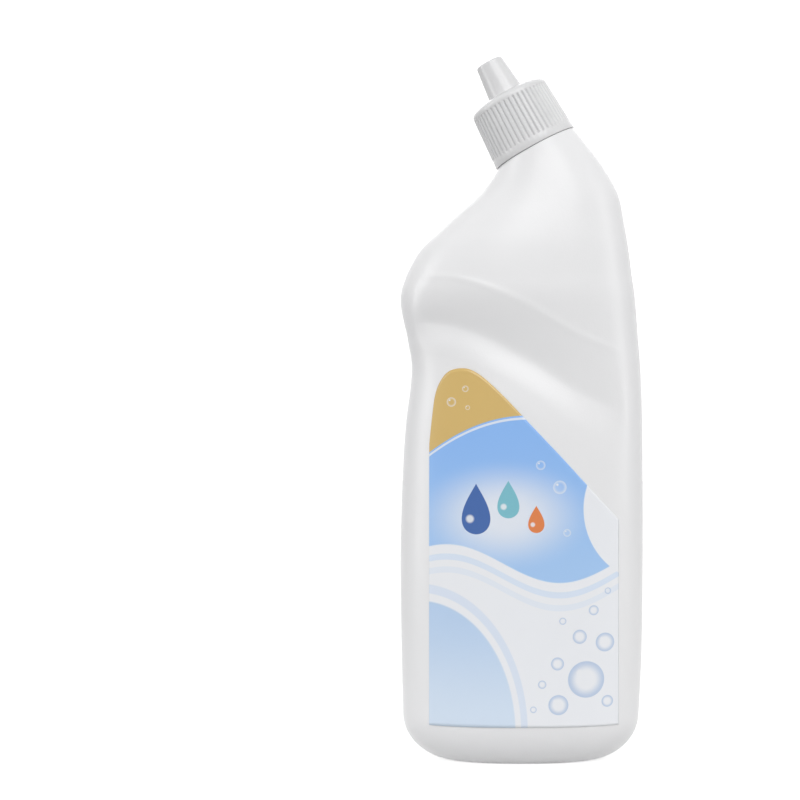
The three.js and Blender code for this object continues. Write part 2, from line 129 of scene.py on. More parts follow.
def smooth(low, high, value):
    t = np.clip((np.asarray(value, float) - low) / (high - low), 0, 1)
    return t * t * (3 - 2 * t)


def through(keys, u):
    # Smooth curve through keys at u = 0, 1, 2 and so on
    last = len(keys) - 1
    i = min(last - 1, max(0, int(math.floor(u))))
    t = u - i
    start = (keys[i + 1] - keys[max(0, i - 1)]) / 2
    end = (keys[min(last, i + 2)] - keys[i]) / 2
    gap = keys[i + 1] - keys[i]
    return keys[i] + start * t + (3 * gap - 2 * start - end) * t * t + (start + end - 2 * gap) * t ** 3


axis_across = np.array([math.cos(NECK_LEAN), 0, math.sin(NECK_LEAN)])
axis_up = np.array([-math.sin(NECK_LEAN), 0, math.cos(NECK_LEAN)])
neck_origin = np.array([NECK_X, 0, NECK_Z])


def to_row(points):
    # From the neck's own axes to the row frame
    points = np.asarray(points, float)
    across = points[..., :1] * axis_across
    back = points[..., 1:2] * [0, 1, 0]
    return neck_origin + across + back + points[..., 2:] * axis_up


def ring(radius, height, count):
    angle = np.arange(count) * 2 * math.pi / count
    return np.stack([radius * np.cos(angle), radius * np.sin(angle), np.full(count, float(height))], axis=1)


def neck_ring(radius, height, count):
    return to_row(ring(radius, height, count))


half_width = BODY_WIDTH / 2
half_depth = BODY_DEPTH / 2
land = neck_ring(LAND_RADIUS, -LAND_GAP, 2)
LEFT_X, LEFT_Z = land[1][0], land[1][2]
RIGHT_X, RIGHT_Z = land[0][0], land[0][2]

# Share of the way from the foot's corner to the waist, left inset, right inset, front inset
STRAIGHT = [
    (0, 0.9, 1.4, 0),
    (0.185, 0.4, 0.4, 0),
    (0.438, 0, 0, 0),
    (0.64, 0.5, 0, WAIST_FRONT_INSET * 0.12),
    (0.832, 1.7, 0.1, WAIST_FRONT_INSET * 0.5),
    (1, WAIST_INSET, 0.7, WAIST_FRONT_INSET),
]
# Shares of the way from the bulge to the land: left across, left up, right across, right up;
# then the share of the half depth and the power of the oval
SHOULDER = [
    (0, 0, 0.109, 0.025, 0.985, OVAL_POWER),
    (0.047, 0.18, 0.16, 0.172, 0.965, 2.28),
    (0.199, 0.391, 0.214, 0.336, 0.92, 2.24),
    (0.403, 0.541, 0.281, 0.486, 0.86, 2.18),
    (0.62, 0.687, 0.361, 0.629, 0.79, 2.12),
    (0.795, 0.798, 0.571, 0.78, 0.73, 2.06),
    (0.924, 0.914, 0.819, 0.913, 0.68, 2.02),
    (1, 1, 1, 1, LAND_RADIUS / half_depth, 2),
]
chest_rise = BULGE_HEIGHT - WAIST_HEIGHT
# Left x, left z, right x, right z, share of the half depth, power of the oval
SECTIONS = []
for up, left, right, front in STRAIGHT:
    z = FOOT_CORNER_HEIGHT + up * (WAIST_HEIGHT - FOOT_CORNER_HEIGHT)
    SECTIONS.append((left - half_width, z, half_width - right, z, 1 - front / half_depth, OVAL_POWER))
SECTIONS.append((
    WAIST_INSET * 0.65 - half_width,
    WAIST_HEIGHT + 0.465 * chest_rise,
    half_width - CHEST_RIGHT_INSET,
    WAIST_HEIGHT + 0.49 * chest_rise,
    1 - WAIST_FRONT_INSET * 0.8 / half_depth,
    OVAL_POWER,
))
for left_across, left_up, right_across, right_up, deep, power in SHOULDER:
    SECTIONS.append((
        -half_width + left_across * (LEFT_X + half_width),
        BULGE_HEIGHT + left_up * (LEFT_Z - BULGE_HEIGHT),
        half_width + right_across * (RIGHT_X - half_width),
        BULGE_HEIGHT + right_up * (RIGHT_Z - BULGE_HEIGHT),
        deep,
        power,
    ))
LAST_SECTION = len(SECTIONS) - 1
SECTION_KEYS = list(zip(*SECTIONS))


def section(u):
    # Middle, half of the line across, half depth and power of the oval
    left_x, left_z, right_x, right_z, deep, power = (through(keys, u) for keys in SECTION_KEYS)
    left = np.array([left_x, 0, left_z])
    right = np.array([right_x, 0, right_z])
    return (left + right) / 2, (right - left) / 2, deep * half_depth, power


# Height of the groove's line at even steps across the body, as shares of its fall
GROOVE_SHARES = (0.01, -0.06, -0.34, -0.75, -1)
GROOVE_KEYS = [GROOVE_LEFT_Z + k * (GROOVE_LEFT_Z - GROOVE_RIGHT_Z) for k in GROOVE_SHARES]


def groove(x, z):
    # Depth of the diagonal groove, 0 to 1: a fine crest on top, a long wall that falls through the
    # groove's line, and a soft slope back out. It fades at both ends and is shallower to the right.
    along = (np.asarray(x) + half_width) / BODY_WIDTH
    last = len(GROOVE_KEYS) - 1
    line = np.array([through(GROOVE_KEYS, float(np.clip(a, 0, 1)) * last) for a in along])
    reach = GROOVE_HEIGHT / 2 * (0.88 + 0.34 * along)
    off = (z - line) / reach
    down = np.clip((1 - off) / 1.5, 0, 1)
    wall = down * (0.72 + 0.28 * down)
    rise = 0.82 * smooth(0.3, 1.5, -off) + 0.18 * smooth(1.2, 2.1, -off)
    crest = 0.07 * np.exp(-((off - 1.1) / 0.09) ** 2)
    fade = smooth(0.05, 0.15, along) * (1 - 0.25 * smooth(0.45, 0.8, along))
    return (wall - rise - crest) * fade * (1 - smooth(0.8, 0.94, along))


def oval(power, a, b, count):
    angle = np.arange(count) * 2 * math.pi / count
    c = np.cos(angle)
    d = np.sin(angle)
    return np.sign(c) * np.abs(c) ** (2 / power) * a, np.sign(d) * np.abs(d) ** (2 / power) * b


def body_ring(u, inset, count):
    # Oval ring of the body with the groove cut into its front and back
    centre, across, depth, power = section(u)
    half = np.linalg.norm(across)
    share_x, share_y = oval(power, 1, 1, count)
    points = centre + np.outer(share_x * (half - inset), across / half)
    surface = centre + np.outer(share_x * half, across / half)
    cut = GROOVE_DEPTH * groove(surface[:, 0], surface[:, 2]) * smooth(0.1, 0.55, np.abs(share_y))
    points[:, 1] = share_y * (depth - inset) - np.sign(share_y) * cut
    return points


def foot_ring(t, inset, count):
    # Ring of the rounded corner between the standing ring (t = 0) and the sides (t = 1)
    turn = t * math.pi / 2
    left = SECTIONS[0][0]
    right = SECTIONS[0][2]
    a = FOOT_WIDTH / 2 + ((right - left) / 2 - FOOT_WIDTH / 2) * math.sin(turn) - inset
    b = FOOT_DEPTH / 2 + (half_depth - FOOT_DEPTH / 2) * math.sin(turn) - inset
    x, y = oval(OVAL_POWER, a, b, count)
    z = inset + (FOOT_CORNER_HEIGHT - inset) * (1 - math.cos(turn))
    return np.stack([x + (left + right) / 2 * math.sin(turn), y, np.full(count, z)], axis=1)


def base_ring(share, z, inset, count):
    # Ring of the pushed-up base, inside the ring that the bottle stands on
    a = (FOOT_WIDTH / 2 - FOOT_RING_WIDTH - inset) * share
    b = (FOOT_DEPTH / 2 - FOOT_RING_WIDTH - inset) * share
    x, y = oval(OVAL_POWER, a, b, count)
    return np.stack([x, y, np.full(count, float(z))], axis=1)


class Shell:
    # Faces between rings of points. Where one ring has more points, each face takes several of them,
    # and a ring of a single point closes the shell with triangles.

    def __init__(self):
        self.points = []
        self.faces = []

    def add_ring(self, points):
        first = len(self.points)
        self.points.extend(np.asarray(points).tolist())
        return list(range(first, len(self.points)))

    def bridge(self, low, high):
        few = min(len(low), len(high))
        if few == 1:
            many = low if len(low) > 1 else high
            for j in range(len(many)):
                pair = [many[j], many[(j + 1) % len(many)]]
                self.faces.append(pair + [high[0]] if len(low) > 1 else [low[0]] + pair[::-1])
            return
        below = len(low) // few
        above = len(high) // few
        for j in range(few):
            lower = [low[(j * below + k) % len(low)] for k in range(below + 1)]
            upper = [high[(j * above + k) % len(high)] for k in range(above + 1)]
            self.faces.append(lower + upper[::-1])

    def loft(self, rings):
        ids = [self.add_ring(points) for points in rings]
        for low, high in zip(ids, ids[1:]):
            self.bridge(low, high)

    def thread(self, wall, outward, start, turns, turned):
        # Ridge that winds up a wall of the neck or the cap, outward 1 or -1. It starts at a twentieth of
        # its height and runs in, and out again, over a twelfth of a turn.
        stations = round(turns * THREAD_COLUMNS)
        run_out = THREAD_COLUMNS / 12
        previous = None
        for k in range(stations + 1):
            angle = 2 * math.pi * (k / THREAD_COLUMNS + turned)
            rise = min(1, 0.05 + min(k, stations - k) / run_out)
            crest = wall + outward * THREAD_HEIGHT * rise
            middle = start + THREAD_PITCH * k / THREAD_COLUMNS
            lower = [
                (wall - outward * THREAD_SINK, -THREAD_ROOT_WIDTH / 2),
                (crest - outward * EDGE, -THREAD_CREST_WIDTH / 2 - 0.08),
                (crest, -THREAD_CREST_WIDTH / 2 + 0.1),
            ]
            profile = lower + [(r, -h) for r, h in lower[::-1]]
            corners = [(r * math.cos(angle), r * math.sin(angle), middle + h) for r, h in profile]
            ids = self.add_ring(to_row(corners[::-1] if outward > 0 else corners))
            if previous:
                self.bridge(previous, ids)
            else:
                self.faces.append(ids[::-1])
            previous = ids
        self.faces.append(previous)

    def make(self, name, material, smooth_angle=35):
        mesh = bpy.data.meshes.new(name)
        mesh.from_pydata([[c * MM for c in p] for p in self.points], [], self.faces)
        mesh.validate()
        mesh.shade_smooth()
        mesh.set_sharp_from_angle(angle=math.radians(smooth_angle))
        mesh.materials.append(material)
        piece = bpy.data.objects.new(name, mesh)
        bpy.context.scene.collection.objects.link(piece)
        return piece


def steps(start, stop, count):
    # Even steps from start to stop, both included
    return [start + (stop - start) * k / count for k in range(count + 1)]


# Materials. Grains of their noise, in spots to a metre
TONE_GRAIN = 14
GLOSS_GRAIN = 30
MOULD_GRAIN = 22
PEEL_GRAIN = 1600
FOAM_GRAIN = 2600
CLOUD_GRAIN = 30
RIPPLE_GRAIN = 120
FILM_GRAIN = 1400
FILM_WAVE_GRAIN = 14
FILM_GLOSS_GRAIN = 40
# Half width and height of the mould's parting line, and its soft edge
PARTING_HALF = 0.05
PARTING_SOFT_HALF = 0.28
PARTING_HEIGHT = 0.12


def linear(red, green, blue):
    # Colour as it shows on the screen, 0 to 255, made linear for the shaders
    values = [c / 255 for c in (red, green, blue)]
    return tuple(c / 12.92 if c <= 0.04045 else ((c + 0.055) / 1.055) ** 2.4 for c in values) + (1.0,)


class Nodes:
    # The nodes of one material, with short names; x, y and z are the piece's own in millimetres

    def __init__(self, name):
        self.material = bpy.data.materials.new(name)
        self.material.use_nodes = True
        self.tree = self.material.node_tree
        self.shader = self.tree.nodes["Principled BSDF"]
        self.place = self.tree.nodes.new("ShaderNodeTexCoord").outputs["Object"]
        split = self.tree.nodes.new("ShaderNodeSeparateXYZ")
        self.link(self.place, split.inputs[0])
        self.x, self.y, self.z = (self.math("MULTIPLY", out, 1 / MM) for out in split.outputs)

    def link(self, source, target):
        self.tree.links.new(source, target)

    def put(self, value, socket):
        if isinstance(value, bpy.types.NodeSocket):
            self.link(value, socket)
        else:
            socket.default_value = value

    def math(self, operation, *values):
        node = self.tree.nodes.new("ShaderNodeMath")
        node.operation = operation
        for value, socket in zip(values, node.inputs):
            self.put(value, socket)
        return node.outputs[0]

    def ramp(self, value, low, high, start=0.0, end=1.0):
        # Smooth step from start to end as the value goes from low to high
        node = self.tree.nodes.new("ShaderNodeMapRange")
        node.interpolation_type = "SMOOTHSTEP"
        items = {"Value": value, "From Min": low, "From Max": high, "To Min": start, "To Max": end}
        for name, item in items.items():
            self.put(item, node.inputs[name])
        return node.outputs["Result"]

    def within(self, value, edge, soft):
        # 1 up to an edge and 0 past it, with a soft step across it
        return self.ramp(value, edge - soft, edge + soft, 1.0, 0.0)

    def stripe(self, value, at, inner, outer, share):
        # Share where the value is within inner of a level, and nothing past outer
        gap = self.math("ABSOLUTE", self.math("SUBTRACT", value, at))
        return self.ramp(gap, inner, outer, share, 0.0)

    def mix(self, share, first, second):
        # Inputs 6 and 7 and output 2 are the node's colour sockets
        node = self.tree.nodes.new("ShaderNodeMix")
        node.data_type = "RGBA"
        self.put(share, node.inputs["Factor"])
        self.put(first, node.inputs[6])
        self.put(second, node.inputs[7])
        return node.outputs[2]

    def noise(self, scale, detail):
        node = self.tree.nodes.new("ShaderNodeTexNoise")
        node.inputs["Scale"].default_value = scale
        node.inputs["Detail"].default_value = detail
        self.link(self.place, node.inputs["Vector"])
        return node.outputs[0]

    def bump(self, height, distance, under=None):
        # Relief of this height in millimetres, over the relief under it
        node = self.tree.nodes.new("ShaderNodeBump")
        node.inputs["Distance"].default_value = distance * MM
        self.link(height, node.inputs["Height"])
        if under:
            self.link(under, node.inputs["Normal"])
        return node.outputs[0]

    def length(self, first, second):
        squares = [self.math("MULTIPLY", side, side) for side in (first, second)]
        return self.math("SQRT", self.math("ADD", *squares))

    def distance(self, x, z, wide=1.0, tall=1.0):
        # From a point of the front, with both ways scaled
        across = self.math("MULTIPLY", self.math("SUBTRACT", self.x, x), wide)
        up = self.math("MULTIPLY", self.math("SUBTRACT", self.z, z), tall)
        return self.length(across, up)


def plastic(name, colour, roughness, peel, wave, translucent=0.0, parting_line=False):
    # Moulded plastic with orange peel, slow waves and a little uneven gloss; peel and wave are heights
    n = Nodes(name)
    shade = tuple(c * 0.98 for c in colour[:3]) + (1.0,)
    n.put(n.mix(n.ramp(n.noise(TONE_GRAIN, 1), 0.2, 0.8), colour, shade), n.shader.inputs["Base Color"])
    uneven = n.ramp(n.noise(GLOSS_GRAIN, 1), 0.1, 0.9, roughness - 0.03, roughness + 0.04)
    n.put(uneven, n.shader.inputs["Roughness"])
    if translucent:
        n.shader.inputs["Subsurface Weight"].default_value = translucent
        n.shader.inputs["Subsurface Radius"].default_value = (1.0, 0.95, 0.9)
        n.shader.inputs["Subsurface Scale"].default_value = 0.004
    normal = n.bump(n.noise(PEEL_GRAIN, 2), peel, under=n.bump(n.noise(MOULD_GRAIN, 2), wave))
    if parting_line:
        # The mould's halves meet up both sides and across the foot
        line = n.stripe(n.y, 0.0, PARTING_HALF, PARTING_SOFT_HALF, 1.0)
        normal = n.bump(line, PARTING_HEIGHT, under=normal)
    n.link(normal, n.shader.inputs["Normal"])
    return n.material


def foam(name, colour, cell_colour):
    # Closed-cell foam: fine pores
    n = Nodes(name)
    cells = n.tree.nodes.new("ShaderNodeTexVoronoi")
    cells.inputs["Scale"].default_value = FOAM_GRAIN
    n.link(n.place, cells.inputs["Vector"])
    height = cells.outputs["Distance"]
    n.put(n.mix(n.ramp(height, 0.1, 0.7), colour, cell_colour), n.shader.inputs["Base Color"])
    n.put(n.bump(height, 0.08), n.shader.inputs["Normal"])
    n.shader.inputs["Roughness"].default_value = 0.85
    return n.material


def gel(name, dark, light):
    # Thick liquid: cloudy colour and a wet, slightly uneven top
    n = Nodes(name)
    n.put(n.mix(n.noise(CLOUD_GRAIN, 2), dark, light), n.shader.inputs["Base Color"])
    n.shader.inputs["Roughness"].default_value = 0.12
    n.put(n.bump(n.noise(RIPPLE_GRAIN, 1), 0.1), n.shader.inputs["Normal"])
    return n.material


body_plastic = plastic(
    "body_plastic", linear(240, 240, 241), roughness=0.3,
    peel=0.02, wave=0.25, translucent=0.05, parting_line=True,
)
cap_plastic = plastic(
    "cap_plastic", linear(223, 223, 224), roughness=0.22,
    peel=0.012, wave=0.08,
)
insert_plastic = plastic(
    "insert_plastic", linear(238, 238, 233), roughness=0.42,
    peel=0.012, wave=0.06, translucent=0.2,
)
washer_foam = foam("washer_foam", linear(236, 236, 230), linear(212, 212, 205))
cleaner_gel = gel("cleaner", linear(30, 92, 176), linear(52, 128, 205))


# Print of the labels, in millimetres on the front; places are across and up. Each function lays one
# part of the print over the colour so far.
WHITE = linear(240, 242, 246)
GLOW_PLACE = (-6, 86)
GLOW_CORE = 3
GLOW_RADIUS = 20
WAVE_Z = 69.5
WAVE_START = -6.0
WAVE_RATE = 0.082
WAVE_HEIGHT = 6.5
PALE_PLACE = (-34, 12)
PALE_RADIUS = 31.9
PALE_RING_RADIUS = 35
DISC_PLACE = (47, 88)
DISC_RADIUS = 25.9
GOLD_MIDDLE = 2.0
GOLD_EDGE_Z = 119.9
GOLD_BOW = 0.0112
# Thin waves under the long one: distance below it, strength and colour
THIN_WAVES = [
    (4.2, 0.75, linear(214, 229, 248)),
    (8.6, 0.6, linear(226, 235, 247)),
]
# Place and radius
BUBBLES = [
    (22, 30, 6.2), (12.5, 21.5, 3.4), (28.5, 42.5, 3.2), (12.2, 35.5, 2.2), (19.8, 44.6, 2.4),
    (29.3, 22.3, 2.0), (7.0, 28.5, 1.4), (24.6, 53.5, 1.7), (4.0, 20.0, 1.1), (29.5, 60.0, 1.1),
    (14.0, 50.0, 1.2), (6.5, 103.0, 1.6), (13.0, 95.5, 2.3), (15.5, 80.0, 1.3), (-24.0, 124.5, 1.6),
    (-19.2, 129.0, 1.1), (-18.4, 122.6, 0.8),
]
# Place of the foot, half width, height and colour
DROPS = [
    (-15.5, 79.5, 5.2, 17.5, linear(54, 98, 168)),
    (-4.5, 85.0, 4.0, 13.0, linear(122, 190, 205)),
    (5.0, 80.0, 3.0, 9.5, linear(226, 128, 66)),
]


def blue_field(n):
    # Blue that pales downwards, with a soft glow in the middle and a long wave as its lower edge
    colour = n.mix(n.ramp(n.z, 62, 118), linear(166, 203, 245), linear(140, 187, 246))
    glow = n.ramp(n.distance(*GLOW_PLACE, wide=0.62), GLOW_CORE, GLOW_RADIUS, 0.85, 0.0)
    colour = n.mix(glow, colour, WHITE)
    turn = n.math("MULTIPLY", n.math("SUBTRACT", n.x, WAVE_START), WAVE_RATE)
    wave = n.math("MULTIPLY", n.math("SINE", turn), WAVE_HEIGHT)
    edge = n.math("ADD", n.math("SUBTRACT", n.z, WAVE_Z), wave)
    colour = n.mix(n.ramp(edge, -0.25, 0.25), WHITE, colour)
    for drop, share, tone in THIN_WAVES:
        colour = n.mix(n.stripe(edge, -drop, 0.9, 1.2, share), colour, tone)
    return colour


def pale_field(n, colour):
    # Field with a bowed edge at the lower left, and a thin ring round it
    bow = n.distance(*PALE_PLACE, tall=0.72)
    tone = n.mix(n.ramp(n.z, 14, 58), linear(214, 229, 246), linear(186, 211, 241))
    colour = n.mix(n.within(bow, PALE_RADIUS, 0.3), colour, tone)
    return n.mix(n.stripe(bow, PALE_RING_RADIUS, 0.9, 1.3, 0.55), colour, linear(206, 222, 245))


def white_field(n, colour):
    # Part of a disc at the right edge
    return n.mix(n.within(n.distance(*DISC_PLACE), DISC_RADIUS, 0.2), colour, WHITE)


def gold_field(n, colour):
    # Top of the label, over a bowed edge with a white trim
    bend = n.math("SUBTRACT", n.x, GOLD_MIDDLE)
    rise = n.math("ADD", n.z, n.math("MULTIPLY", n.math("MULTIPLY", bend, bend), GOLD_BOW))
    edge = n.ramp(rise, GOLD_EDGE_Z - 0.15, GOLD_EDGE_Z + 0.15)
    colour = n.mix(edge, colour, linear(214, 181, 109))
    return n.mix(n.stripe(rise, GOLD_EDGE_Z - 1, 0.3, 0.5, 0.8), colour, WHITE)


def bubble(n, colour, x, z, radius):
    # Rim that fades inwards and a spark, white above the wave and blue below it
    distance = n.distance(x, z)
    inside = n.within(distance, radius, 0.1)
    rim = n.ramp(distance, radius * 0.45, radius, 0.0, 0.55)
    tint = WHITE if z > WAVE_Z else linear(128, 168, 216)
    colour = n.mix(n.math("MULTIPLY", inside, rim), colour, tint)
    spark = n.distance(x - radius * 0.36, z + radius * 0.38)
    return n.mix(n.ramp(spark, radius * 0.1, radius * 0.24, 0.9, 0.0), colour, WHITE)


def water_drop(n, colour, x, foot, half, tall, tint):
    # Drop with its point up, round at the foot, and a shine; half is half its width
    up = n.math("DIVIDE", n.math("SUBTRACT", n.z, foot), tall)
    t = n.math("MINIMUM", n.math("MAXIMUM", up, 0.0), 1.0)
    taper = n.math("POWER", n.math("SUBTRACT", 1.0, t), 1.15)
    width = n.math("MULTIPLY", n.math("MULTIPLY", n.math("SQRT", t), taper), half * 2.65)
    inside = n.math("SUBTRACT", width, n.math("ABSOLUTE", n.math("SUBTRACT", n.x, x)))
    colour = n.mix(n.ramp(inside, 0.0, 0.22), colour, tint)
    shine = n.distance(x - half * 0.4, foot + tall * 0.3)
    return n.mix(n.ramp(shine, half * 0.16, half * 0.34, 0.85, 0.0), colour, WHITE)


def label_film(name, is_front):
    # Printed film with a clear coat; only the front has the drops
    n = Nodes(name)
    colour = gold_field(n, white_field(n, pale_field(n, blue_field(n))))
    for place in BUBBLES:
        colour = bubble(n, colour, *place)
    for drop in DROPS if is_front else ():
        colour = water_drop(n, colour, *drop)
    n.put(colour, n.shader.inputs["Base Color"])
    n.put(n.ramp(n.noise(FILM_GLOSS_GRAIN, 1), 0.2, 0.8, 0.27, 0.32), n.shader.inputs["Roughness"])
    n.shader.inputs["Coat Weight"].default_value = 0.25
    n.shader.inputs["Coat Roughness"].default_value = 0.12
    slow = n.bump(n.noise(FILM_WAVE_GRAIN, 0), 0.15)
    n.put(n.bump(n.noise(FILM_GRAIN, 2), 0.008, under=slow), n.shader.inputs["Normal"])
    return n.material


# Bottle body: foot, oval, shoulder, threaded neck and the cavity inside. The rings are closest
# through the sections that the groove crosses.
GROOVE_SECTIONS = (4, 8)
outer_steps = (
    steps(0, GROOVE_SECTIONS[0], 44)[1:]
    + steps(*GROOVE_SECTIONS, 104)[1:]
    + steps(GROOVE_SECTIONS[1], LAST_SECTION, 60)[1:-1]
)
inner_steps = (
    steps(0, GROOVE_SECTIONS[0], 16)[1:]
    + steps(*GROOVE_SECTIONS, 40)[1:]
    + steps(GROOVE_SECTIONS[1], LAST_SECTION - 1, 20)[1:]
)


def base_rings():
    # Pushed-up base, from near its middle out to the ring that the bottle stands on
    shares = steps(0, 1, 12)[1:]
    return [base_ring(share, PUSH_UP * float(1 - smooth(0.55, 1.0, share)), 0, COLUMNS) for share in shares]


def cavity_rings(inset):
    # Surface at an inset inside the bottle, from the middle of the base up to the shoulder
    return (
        [[(0, 0, inset + PUSH_UP)]]
        + [base_ring(0.5, inset + PUSH_UP, inset, INNER_COLUMNS)]
        + [base_ring(0.9, inset + PUSH_UP * 0.5, inset, INNER_COLUMNS)]
        + [foot_ring(t, inset, INNER_COLUMNS) for t in steps(0, 1, 4)]
        + [body_ring(u, inset, INNER_COLUMNS) for u in inner_steps]
    )


shell = Shell()
shell.loft(
    [[(0, 0, PUSH_UP)]]
    + base_rings()
    + [foot_ring(t, 0, COLUMNS) for t in steps(0, 1, 16)]
    + [body_ring(u, 0, COLUMNS) for u in outer_steps]
    + [
        neck_ring(LAND_RADIUS, LAND_TOP - EDGE, COLUMNS),
        neck_ring(LAND_RADIUS - 0.12, LAND_TOP, COLUMNS),
        neck_ring(NECK_RADIUS + 0.5, LAND_TOP, COLUMNS),
        neck_ring(NECK_RADIUS, LAND_TOP + 0.5, COLUMNS),
        neck_ring(NECK_RADIUS, NECK_LENGTH - 0.5, COLUMNS),
        neck_ring(NECK_RADIUS - EDGE, NECK_LENGTH - EDGE, COLUMNS),
        neck_ring(NECK_RADIUS - 0.4, NECK_LENGTH, COLUMNS),
        neck_ring(NECK_BORE_RADIUS + 0.3, NECK_LENGTH, COLUMNS),
        neck_ring(NECK_BORE_RADIUS, NECK_LENGTH - 0.3, COLUMNS),
        neck_ring(NECK_BORE_RADIUS, -LAND_GAP - 1.4, INNER_COLUMNS),
    ]
    + cavity_rings(BODY_WALL)[::-1]
)
shell.thread(NECK_RADIUS, 1, NECK_THREAD_START, NECK_THREAD_TURNS, 0)
bottle = shell.make("bottle_shell", body_plastic, 40)
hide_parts("bottle_body")
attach(bottle, "bottle")


# Cleaner: fills the cavity up to a level top
fill = Shell()
fill.loft(cavity_rings(BODY_WALL + FIT))
fill.faces.append(list(range(len(fill.points) - INNER_COLUMNS, len(fill.points))))
cleaner = fill.make("cleaner_fill", cleaner_gel)
cut = bmesh.new()
cut.from_mesh(cleaner.data)
everything = cut.verts[:] + cut.edges[:] + cut.faces[:]
level = (0, 0, FILL_HEIGHT * MM)
bmesh.ops.bisect_plane(cut, geom=everything, plane_co=level, plane_no=(0, 0, 1), clear_outer=True)
bmesh.ops.contextual_create(cut, geom=[edge for edge in cut.edges if edge.is_boundary])
cut.to_mesh(cleaner.data)
cut.free()
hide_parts("cleaner_gel")
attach(cleaner, "bottle")


# Screw cap, in the neck's own axes. A rib and a cut are eight points of a ring: 1 on the wall, 0 at
# the bottom of the cut.
RIB_PROFILE = [0, 0.5, 0.95, 1, 1, 1, 0.95, 0.5]
RIB_POINTS = RIB_COUNT * len(RIB_PROFILE)
rib_low = CAP_BAND_HEIGHT + 0.1
rib_high = CAP_TOP - 0.6
QUARTER = steps(0, math.pi / 2, 5)


def wall_at(height):
    return CAP_RADIUS + (CAP_SHOULDER_RADIUS - CAP_RADIUS) * height / CAP_TOP


def rib_ring(height, share):
    # Broad ribs flush with the wall, between narrow cuts of this share of the full depth
    angle = np.arange(RIB_POINTS) * 2 * math.pi / RIB_POINTS
    r = wall_at(height) - (1 - np.tile(RIB_PROFILE, RIB_COUNT)) * RIB_DEPTH * share
    return np.stack([r * np.cos(angle), r * np.sin(angle), np.full(RIB_POINTS, float(height))], axis=1)


def shoulder():
    # Arc from the top of the wall in to the crisp edge of the flat face
    rings = []
    for turn in steps(0, SHOULDER_TURN, 10):
        share = (math.cos(turn) - math.cos(SHOULDER_TURN)) / (1 - math.cos(SHOULDER_TURN))
        radius = FACE_RADIUS + (CAP_SHOULDER_RADIUS - FACE_RADIUS) * share
        height = CAP_TOP + (FACE_TOP - CAP_TOP) * math.sin(turn) / math.sin(SHOULDER_TURN)
        rings.append(ring(radius, height, RIB_POINTS))
    return rings


def spout_fillet():
    # Soft foot of the spout on the flat face
    rings = []
    for turn in QUARTER:
        radius = SPOUT_BASE_RADIUS + SPOUT_FILLET * (1 - math.sin(turn))
        rings.append(ring(radius, FACE_TOP + SPOUT_FILLET * (1 - math.cos(turn)), RIB_POINTS))
    return rings


def spout_tip():
    # Rounded corner at the top of the spout
    rings = []
    for turn in QUARTER:
        radius = SPOUT_TIP_RADIUS - SPOUT_ROUNDING * (1 - math.cos(turn))
        rings.append(ring(radius, SPOUT_TOP - SPOUT_ROUNDING * (1 - math.sin(turn)), RIB_COUNT))
    return rings


cap_shell = Shell()
cap_rings = (
    [[(0, 0, SPOUT_TOP - SPOUT_WALL)]]
    + [
        ring(SPOUT_TIP_RADIUS - SPOUT_WALL, SPOUT_TOP - SPOUT_WALL, RIB_COUNT),
        ring(SPOUT_BASE_RADIUS - SPOUT_WALL, FACE_TOP, RIB_COUNT),
        ring(SPOUT_BASE_RADIUS - SPOUT_WALL + 0.4, CAP_CEILING, RIB_COUNT),
        ring(CAP_BORE, CAP_CEILING, RIB_POINTS),
        ring(CAP_BORE, 0.6, RIB_POINTS),
        ring(CAP_BORE + 0.4, 0, RIB_POINTS),
        ring(wall_at(0) - EDGE, 0, RIB_POINTS),
        ring(wall_at(0) - 0.04, 0.04, RIB_POINTS),
        ring(wall_at(0), EDGE, RIB_POINTS),
        ring(wall_at(CAP_BAND_HEIGHT), CAP_BAND_HEIGHT, RIB_POINTS),
        rib_ring(rib_low, 0.5),
        rib_ring(rib_low + 0.15, 0.9),
    ]
    + [rib_ring(height, 1) for height in steps(rib_low + 0.4, rib_high - 0.7, 4)]
    + [
        rib_ring(rib_high - 0.35, 0.8),
        rib_ring(rib_high - 0.1, 0.4),
        ring(wall_at(rib_high), rib_high, RIB_POINTS),
    ]
    + shoulder()
    + [ring(FACE_RADIUS - EDGE, FACE_TOP + 0.03, RIB_POINTS)]
    + spout_fillet()
    + [ring(SPOUT_BASE_RADIUS - 0.04, FACE_TOP + 1.3, RIB_COUNT)]
    + spout_tip()
    + [ring(SPOUT_TIP_RADIUS * 0.4, SPOUT_TOP, RIB_COUNT), [(0, 0, SPOUT_TOP)]]
)
cap_shell.loft([to_row(points) for points in cap_rings])
cap_start = NECK_THREAD_START - THREAD_PITCH / 2 - THREAD_PITCH * CAP_THREAD_LEAD
cap_shell.thread(CAP_BORE, -1, cap_start, CAP_THREAD_TURNS, -CAP_THREAD_LEAD)
cap = cap_shell.make("ribbed_cap", cap_plastic, 50)
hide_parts("screw_cap")
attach(cap, "cap")


# Labels. Points of the top edge: shares of the way across and of the way down from the peak
LABEL_SHARES = [
    (0, 0.5), (0.014, 0.328), (0.031, 0.174), (0.062, 0.077), (0.105, 0.019), (0.162, 0), (0.22, 0.01),
    (0.293, 0.068), (0.4, 0.193), (0.508, 0.336), (0.607, 0.467), (0.709, 0.602), (0.81, 0.741),
    (0.908, 0.876), (1, 1),
]
LABEL_TOP = [
    (LABEL_LEFT + across * (LABEL_RIGHT - LABEL_LEFT), LABEL_PEAK - down * (LABEL_PEAK - LABEL_RIGHT_TOP))
    for across, down in LABEL_SHARES
]
LABEL_KEYS = list(zip(*LABEL_TOP))

